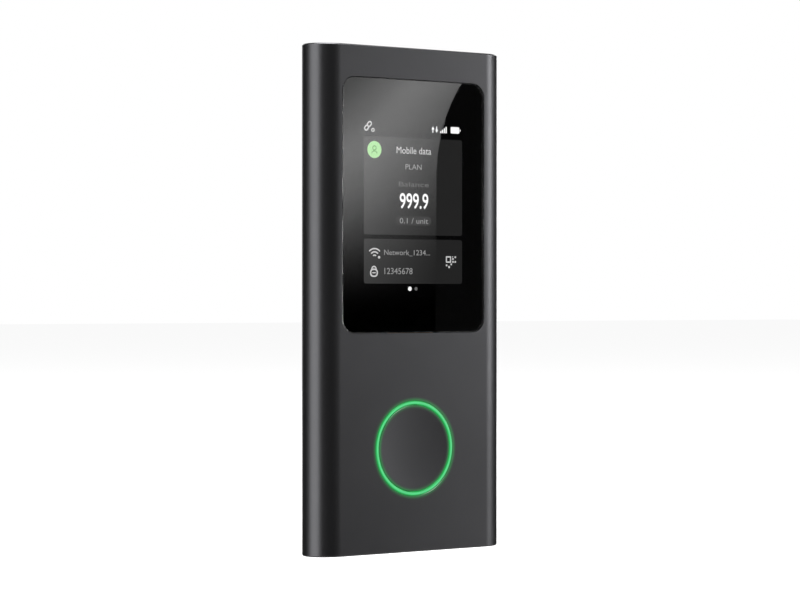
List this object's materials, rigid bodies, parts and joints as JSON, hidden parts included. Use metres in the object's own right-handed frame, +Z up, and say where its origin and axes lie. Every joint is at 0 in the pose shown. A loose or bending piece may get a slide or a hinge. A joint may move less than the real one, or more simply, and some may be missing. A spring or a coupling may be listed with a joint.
{
  "type": "mobile hotspot",
  "caption": "Slim upright pocket hotspot: metal sleeve with elliptical sides, touch screen, round dished button in a lit green ring, plastic end caps, charging socket and card tray.",
  "frame": {"origin": "middle of the foot: centre of the bounding box in plan, on the plane of the sleeve's bottom rim", "axes": "+X to the right of someone facing the screen, +Y from the screen through to the back, +Z up the body's length"},
  "size_m": [0.064, 0.0126, 0.139],
  "materials": {
    "anodised_aluminium": "dark grey anodised, bead blasted, satin",
    "cap_plastic": "black, fine matt texture",
    "cover_glass": "clear, polished, black border printed behind",
    "adhesive": "black foam tape",
    "display_panel": "glossy black polariser",
    "backlight": "white moulded frame",
    "flex": "amber polyimide film",
    "connector": "cream nylon",
    "light_guide": "translucent, lit green",
    "board": "green solder mask",
    "diode": "white package",
    "carrier_plastic": "dark grey glass-filled nylon",
    "hub_plastic": "black, moulded",
    "steel": "bright rolled sheet",
    "screw_steel": "black zinc plated",
    "antenna_copper": "gold flashed copper alloy",
    "cell_wrap": "matt silver laminate",
    "chip": "black epoxy",
    "thermal": "blue-grey silicone",
    "bare_aluminium": "milled"
  },
  "bodies": {
    "housing": {"sleeve": "anodised_aluminium", "bottom_end_cap": "cap_plastic", "top_end_cap": "cap_plastic", "bottom_cap_screws": "screw_steel", "top_cap_screws": "screw_steel", "board_screws": "screw_steel", "cover_glass": "cover_glass", "glass_adhesive": "adhesive", "battery_adhesive": "adhesive", "display_panel": "display_panel", "display_backlight": "backlight", "display_lead": "flex", "battery_lead": "flex", "display_connector": "connector", "ring_light_connector": "connector", "battery_connector": "connector", "light_ring": "light_guide", "ring_light_board": "board", "ring_light_diodes": "diode", "button_switch": "hub_plastic", "switch_dome": "steel", "front_carrier": "carrier_plastic", "rear_carrier": "carrier_plastic", "main_board": "board", "antenna_bottom_left": "antenna_copper", "antenna_bottom_right": "antenna_copper", "antenna_top_left": "antenna_copper", "antenna_top_right": "antenna_copper", "antenna_clips": "antenna_copper", "battery": "cell_wrap", "battery_guard_board": "board", "modem_shield": "steel", "power_shield": "steel", "radio_shield": "steel", "modem_chips": "chip", "power_chips": "chip", "radio_chips": "chip", "thermal_pad": "thermal", "heat_spreader": "bare_aluminium", "usb_socket_shell": "steel", "usb_socket_tongue": "chip", "sim_socket_base": "hub_plastic", "sim_socket_cover": "steel", "sim_contacts": "antenna_copper", "sim_lever_pin": "steel"},
    "home_button": {"button_cap": "anodised_aluminium", "button_hub": "hub_plastic", "switch_plunger": "connector"},
    "eject_rod": {"sim_eject_rod": "steel"},
    "eject_lever": {"sim_eject_lever": "steel"},
    "eject_pusher": {"sim_eject_pusher": "hub_plastic"},
    "card_tray": {"sim_tray": "cap_plastic"}
  },
  "joints": [
    {"name": "home_button_press", "type": "slide", "parent": "housing", "child": "home_button", "axis": [0, 1, 0], "range_m": [0, 0.00035], "stiffness_N_per_m": 4000, "springref_m": -0.00015, "deforming": ["switch_dome"]},
    {"name": "eject_rod_press", "type": "slide", "parent": "housing", "child": "eject_rod", "axis": [0, 0, -1], "range_m": [0, 0.0011]},
    {"name": "eject_lever_turn", "type": "hinge", "parent": "housing", "child": "eject_lever", "pos_m": [0.0136, 0, 0.11615], "axis": [0, 1, 0], "range_deg": [0, 11.6]},
    {"name": "eject_pusher_lift", "type": "slide", "parent": "housing", "child": "eject_pusher", "axis": [0, 0, 1], "range_m": [0, 0.00117]},
    {"name": "card_tray_pull", "type": "slide", "parent": "eject_pusher", "child": "card_tray", "axis": [0, 0, 1], "range_m": [0, 0.019]}
  ],
  "couplings": [
    {"joint": "eject_lever_turn", "follows": "eject_rod_press", "rad_per_m": 181.82},
    {"joint": "eject_pusher_lift", "follows": "eject_rod_press", "ratio": 1.0546}
  ]
}
